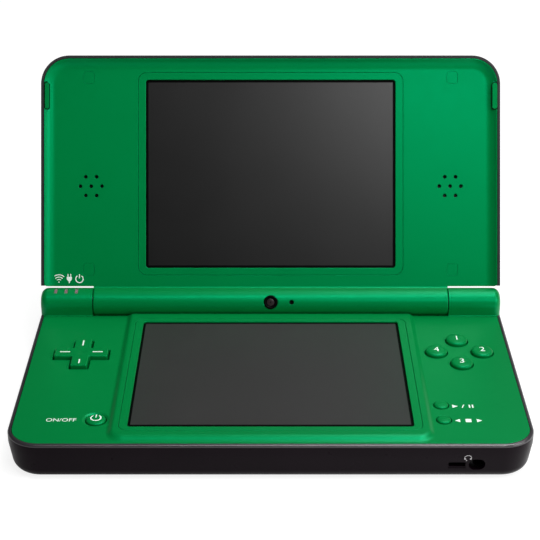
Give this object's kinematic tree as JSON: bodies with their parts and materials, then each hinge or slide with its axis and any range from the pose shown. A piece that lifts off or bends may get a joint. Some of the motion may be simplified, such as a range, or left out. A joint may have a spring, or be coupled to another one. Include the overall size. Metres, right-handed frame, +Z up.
{
  "type": "clamshell handheld game console",
  "caption": "Clamshell handheld game console with a screen in each half, a direction pad and push buttons beside the lower screen, joined by a barrel hinge.",
  "frame": {"origin": "middle of the base's footprint at table level", "axes": "+Z up, +X towards the player's right, and the player sits at -Y; the hinge axis runs along X at the rear of the base"},
  "size_m": [0.1614, 0.1288, 0.0947],
  "materials": {
    "green_shell": "satin",
    "dark_shell": "satin",
    "green_gloss_panel": "glossy",
    "screen_glass": "glossy",
    "display_module": "satin",
    "black_plastic": "satin",
    "dark_rubber": "matte",
    "grey_silicone": "matte",
    "light_guide": "glossy",
    "steel": "satin",
    "circuit_board": "satin",
    "battery_cell": "matte"
  },
  "bodies": {
    "base": {"base_top_case": "green_shell", "lower_screen_frame": "green_shell", "base_bottom_case": "dark_shell", "battery_cover": "dark_shell", "touch_panel": "screen_glass", "lower_lcd": "display_module", "rubber_foot_front_left": "dark_rubber", "rubber_foot_front_right": "dark_rubber", "rubber_foot_rear_left": "dark_rubber", "rubber_foot_rear_right": "dark_rubber", "battery_cover_screw_left": "steel", "battery_cover_screw_right": "steel", "battery": "battery_cell", "main_board": "circuit_board", "volume_switch_board": "circuit_board", "game_card_slot": "black_plastic", "headset_jack": "black_plastic", "memory_card_slot": "steel", "charge_port": "steel", "power_switch": "steel", "left_shoulder_pin": "steel", "right_shoulder_pin": "steel", "hinge_sleeve": "steel", "action_button_rubber": "grey_silicone", "menu_button_rubber": "grey_silicone", "led_light_guide": "light_guide"},
    "lid": {"hinge_cartridge": "steel", "lid_inner_case": "green_shell", "lid_outer_case": "dark_shell", "lid_cover_panel": "green_gloss_panel", "upper_screen_frame": "green_shell", "upper_screen_window": "screen_glass", "upper_lcd": "display_module", "left_speaker": "black_plastic", "right_speaker": "black_plastic", "lid_bumper_left": "green_shell", "lid_bumper_right": "green_shell", "screw_cover_far_left": "green_shell", "screw_cover_near_left": "green_shell", "screw_cover_far_right": "green_shell", "screw_cover_near_right": "green_shell", "inner_camera": "black_plastic", "outer_camera": "black_plastic", "microphone": "steel"},
    "dpad_rocker": {"dpad_rubber": "grey_silicone"},
    "dpad": {"dpad": "green_shell"},
    "action_button_top": {"action_button_top": "green_shell"},
    "action_button_right": {"action_button_right": "green_shell"},
    "action_button_bottom": {"action_button_bottom": "green_shell"},
    "action_button_left": {"action_button_left": "green_shell"},
    "start_button": {"start_button": "green_shell"},
    "select_button": {"select_button": "green_shell"},
    "power_button": {"power_button": "green_shell"},
    "volume_up_button": {"volume_up_button": "dark_shell"},
    "volume_down_button": {"volume_down_button": "dark_shell"},
    "left_shoulder_button": {"left_shoulder_button": "dark_shell"},
    "right_shoulder_button": {"right_shoulder_button": "dark_shell"},
    "memory_card_door": {"memory_card_door": "dark_shell"},
    "stylus": {"stylus": "black_plastic"}
  },
  "joints": [
    {"name": "lid_hinge", "type": "hinge", "parent": "base", "child": "lid", "pos_m": [0, 0.0407, 0.0164], "axis": [1, 0, 0], "range_deg": [-38.35, 116.65]},
    {"name": "dpad_rock_up_down", "type": "hinge", "parent": "base", "child": "dpad_rocker", "pos_m": [-0.063, 0.00865, 0.01215], "axis": [1, 0, 0], "range_deg": [-3.5, 3.5], "stiffness_Nm_per_rad": 0.08},
    {"name": "dpad_rock_left_right", "type": "hinge", "parent": "dpad_rocker", "child": "dpad", "pos_m": [-0.063, 0.00865, 0.01215], "axis": [0, 1, 0], "range_deg": [-3.5, 3.5], "stiffness_Nm_per_rad": 0.08},
    {"name": "action_button_top_press", "type": "slide", "parent": "base", "child": "action_button_top", "axis": [0, 0, -1], "range_m": [0, 0.0009], "stiffness_N_per_m": 400, "springref_m": -0.0005},
    {"name": "action_button_right_press", "type": "slide", "parent": "base", "child": "action_button_right", "axis": [0, 0, -1], "range_m": [0, 0.0009], "stiffness_N_per_m": 400, "springref_m": -0.0005},
    {"name": "action_button_bottom_press", "type": "slide", "parent": "base", "child": "action_button_bottom", "axis": [0, 0, -1], "range_m": [0, 0.0009], "stiffness_N_per_m": 400, "springref_m": -0.0005},
    {"name": "action_button_left_press", "type": "slide", "parent": "base", "child": "action_button_left", "axis": [0, 0, -1], "range_m": [0, 0.0009], "stiffness_N_per_m": 400, "springref_m": -0.0005},
    {"name": "start_button_press", "type": "slide", "parent": "base", "child": "start_button", "axis": [0, 0, -1], "range_m": [0, 0.0005], "stiffness_N_per_m": 500, "springref_m": -0.0005},
    {"name": "select_button_press", "type": "slide", "parent": "base", "child": "select_button", "axis": [0, 0, -1], "range_m": [0, 0.0005], "stiffness_N_per_m": 500, "springref_m": -0.0005},
    {"name": "power_button_press", "type": "slide", "parent": "base", "child": "power_button", "axis": [0, 0, -1], "range_m": [0, 0.0004], "stiffness_N_per_m": 500, "springref_m": -0.0005},
    {"name": "volume_up_button_press", "type": "slide", "parent": "base", "child": "volume_up_button", "axis": [1, 0, 0], "range_m": [0, 0.00045], "stiffness_N_per_m": 500, "springref_m": -0.0005},
    {"name": "volume_down_button_press", "type": "slide", "parent": "base", "child": "volume_down_button", "axis": [1, 0, 0], "range_m": [0, 0.00045], "stiffness_N_per_m": 500, "springref_m": -0.0005},
    {"name": "left_shoulder_press", "type": "hinge", "parent": "base", "child": "left_shoulder_button", "pos_m": [-0.0593, 0.0427, 0.0066], "axis": [0, 0, 1], "range_deg": [0, 2.5], "stiffness_Nm_per_rad": 0.3, "springref_deg": -1},
    {"name": "right_shoulder_press", "type": "hinge", "parent": "base", "child": "right_shoulder_button", "pos_m": [0.0593, 0.0427, 0.0066], "axis": [0, 0, 1], "range_deg": [-2.5, 0], "stiffness_Nm_per_rad": 0.3, "springref_deg": 1},
    {"name": "memory_card_door_hinge", "type": "hinge", "parent": "base", "child": "memory_card_door", "pos_m": [0.08035, -0.0285, 0.00655], "axis": [0, 0, 1], "range_deg": [-100, 0]},
    {"name": "stylus_slide", "type": "slide", "parent": "base", "child": "stylus", "axis": [1, 0, 0], "range_m": [0, 0.1]}
  ]
}
